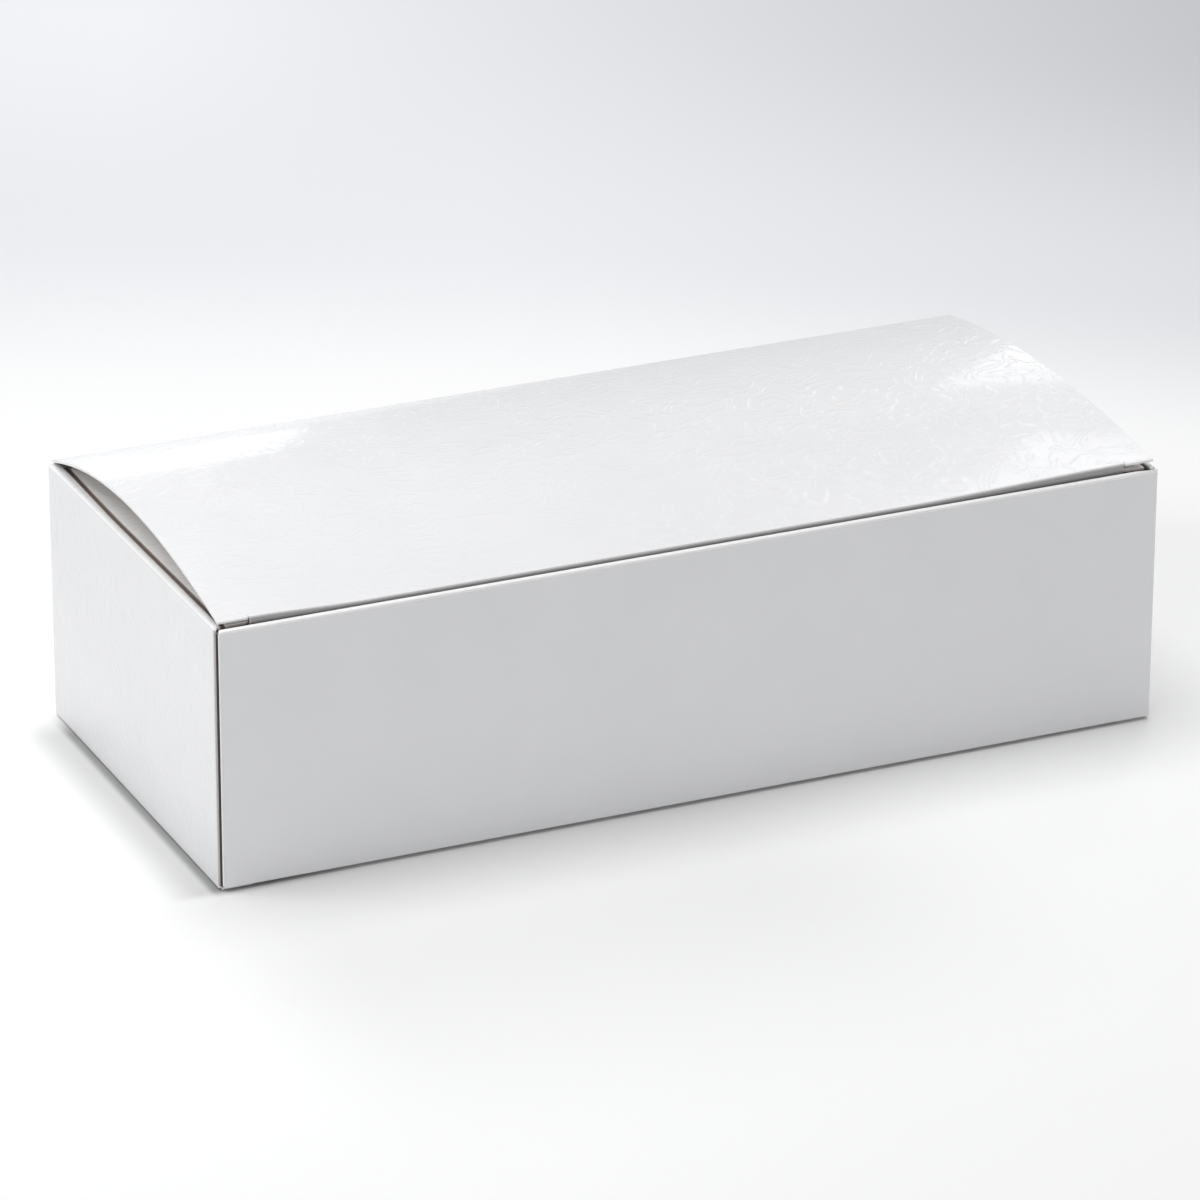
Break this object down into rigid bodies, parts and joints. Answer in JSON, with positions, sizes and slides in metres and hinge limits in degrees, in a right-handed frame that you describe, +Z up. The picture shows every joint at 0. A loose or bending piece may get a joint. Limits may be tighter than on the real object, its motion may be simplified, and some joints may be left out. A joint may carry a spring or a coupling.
{
  "type": "business card box",
  "caption": "Long white tuck-end carton for a row of business cards, with a bowed slit-lock lid, dust flaps and a tuck-in bottom.",
  "frame": {"origin": "under the middle of the box, on the plane it stands on", "axes": "+X along the front to the right end, +Y to the back, +Z up"},
  "size_m": [0.2, 0.091, 0.0623],
  "materials": {
    "coated_board": "gloss clay coating outside, uncoated inside"
  },
  "bodies": {
    "carton_walls": {"front_panel": "coated_board", "back_panel": "coated_board", "left_end_panel": "coated_board", "right_end_panel": "coated_board", "glue_flap": "coated_board"},
    "lid": {"lid_panel": "coated_board"},
    "lid_tuck": {"lid_tuck_flap": "coated_board"},
    "top_left_dust": {"top_left_dust_flap": "coated_board"},
    "top_right_dust": {"top_right_dust_flap": "coated_board"},
    "bottom": {"bottom_panel": "coated_board"},
    "bottom_tuck": {"bottom_tuck_flap": "coated_board"},
    "bottom_left_dust": {"bottom_left_dust_flap": "coated_board"},
    "bottom_right_dust": {"bottom_right_dust_flap": "coated_board"}
  },
  "joints": [
    {"name": "lid_hinge", "type": "hinge", "parent": "carton_walls", "child": "lid", "pos_m": [0, 0.04521, 0.05491], "axis": [-1, 0, 0], "range_deg": [0, 180]},
    {"name": "lid_tuck_crease", "type": "hinge", "parent": "lid", "child": "lid_tuck", "pos_m": [0, -0.04442, 0.05589], "axis": [-1, 0, 0], "range_deg": [0, 90]},
    {"name": "top_left_dust_crease", "type": "hinge", "parent": "carton_walls", "child": "top_left_dust", "pos_m": [-0.0988, 0, 0.05435], "axis": [0, -1, 0], "range_deg": [0, 90]},
    {"name": "top_right_dust_crease", "type": "hinge", "parent": "carton_walls", "child": "top_right_dust", "pos_m": [0.0988, 0, 0.05435], "axis": [0, 1, 0], "range_deg": [0, 90]},
    {"name": "bottom_hinge", "type": "hinge", "parent": "carton_walls", "child": "bottom", "pos_m": [0, 0.04521, 0.00029], "axis": [1, 0, 0], "range_deg": [0, 180]},
    {"name": "bottom_tuck_crease", "type": "hinge", "parent": "bottom", "child": "bottom_tuck", "pos_m": [0, -0.04442, 0.00036], "axis": [1, 0, 0], "range_deg": [0, 90]},
    {"name": "bottom_left_dust_crease", "type": "hinge", "parent": "carton_walls", "child": "bottom_left_dust", "pos_m": [-0.0988, 0, 0.00085], "axis": [0, 1, 0], "range_deg": [0, 90]},
    {"name": "bottom_right_dust_crease", "type": "hinge", "parent": "carton_walls", "child": "bottom_right_dust", "pos_m": [0.0988, 0, 0.00085], "axis": [0, -1, 0], "range_deg": [0, 90]}
  ],
  "couplings": [
    {"joint": "lid_tuck_crease", "follows": "lid_hinge", "ratio": 0.5},
    {"joint": "top_left_dust_crease", "follows": "lid_hinge", "ratio": 0.5},
    {"joint": "top_right_dust_crease", "follows": "lid_hinge", "ratio": 0.5},
    {"joint": "bottom_tuck_crease", "follows": "bottom_hinge", "ratio": 0.5},
    {"joint": "bottom_left_dust_crease", "follows": "bottom_hinge", "ratio": 0.5},
    {"joint": "bottom_right_dust_crease", "follows": "bottom_hinge", "ratio": 0.5}
  ]
}
